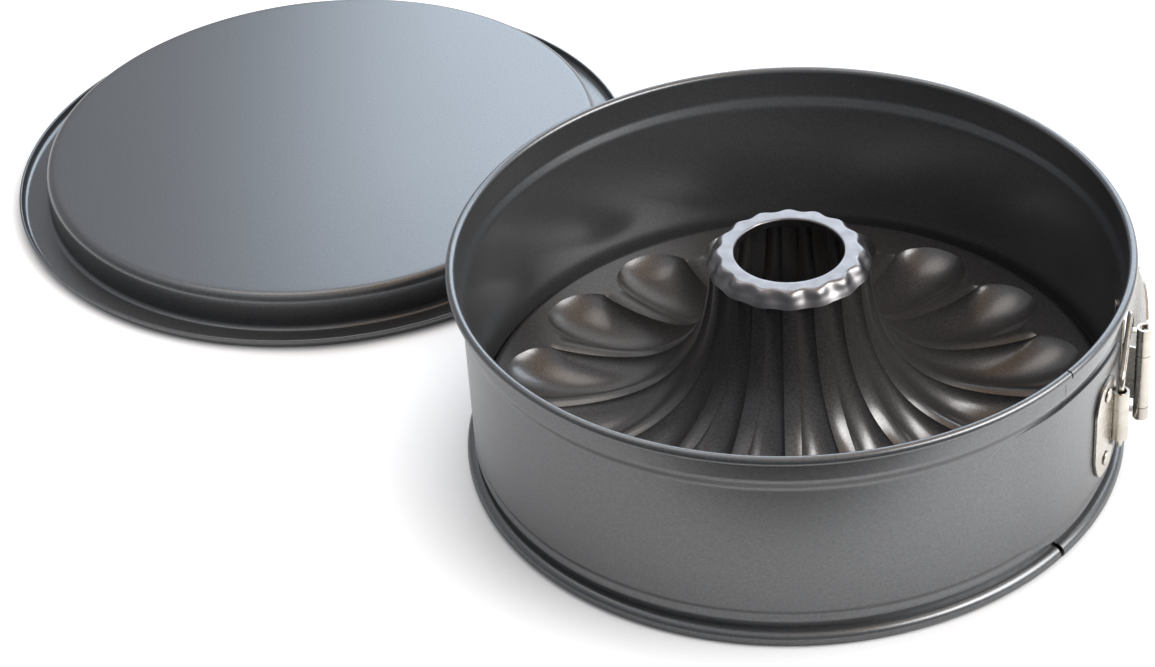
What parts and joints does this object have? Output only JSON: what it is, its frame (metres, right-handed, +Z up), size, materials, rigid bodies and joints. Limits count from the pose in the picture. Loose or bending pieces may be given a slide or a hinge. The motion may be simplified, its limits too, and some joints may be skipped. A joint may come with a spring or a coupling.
{
  "type": "springform bundt pan",
  "caption": "Round springform cake pan: a steel band with an over-centre wire clasp, a fluted tube base standing in it, and a flat base with a drip rim lying beside it.",
  "frame": {"origin": "middle of the ground that pan and flat base cover together, at table height", "axes": "+Z up; +X to the right in the picture and -Y towards its viewer, so the clasp is at the pan's right and the flat base behind at the left"},
  "size_m": [0.4988, 0.4854, 0.092],
  "materials": {
    "coated_steel": "satin grey non-stick coating on steel sheet",
    "dark_non_stick": "satin to glossy dark non-stick coating on steel sheet",
    "plated_steel": "bright plated steel strip and wire"
  },
  "bodies": {
    "base": {"bundt_base": "dark_non_stick", "tube_collar": "plated_steel"},
    "ring": {"band": "coated_steel", "catch_plate": "plated_steel", "catch_rivet_upper": "plated_steel", "catch_rivet_lower": "plated_steel", "hinge_bracket": "plated_steel", "bracket_rivet_upper": "plated_steel", "bracket_rivet_lower": "plated_steel", "hinge_pin": "plated_steel"},
    "lever": {"clasp_lever": "plated_steel"},
    "bail": {"wire_bail": "plated_steel"},
    "plate": {"flat_base": "coated_steel"}
  },
  "joints": [
    {"name": "ring_lift", "type": "slide", "parent": "base", "child": "ring", "axis": [0, 0, 1], "range_m": [0, 0.1]},
    {"name": "lever_hinge", "type": "hinge", "parent": "ring", "child": "lever", "pos_m": [0.24628, -0.12735, 0.0408], "axis": [0, 0, -1], "range_deg": [0, 145]},
    {"name": "bail_hinge", "type": "hinge", "parent": "ring", "child": "bail", "pos_m": [0.23488, -0.15387, 0.0408], "axis": [0, 0, -1], "range_deg": [0, 29]},
    {"name": "flat_base_lift", "type": "slide", "parent": "base", "child": "plate", "axis": [0, 0, 1], "range_m": [0, 0.1]}
  ],
  "couplings": [
    {"joint": "bail_hinge", "follows": "lever_hinge", "ratio": 0.2}
  ]
}
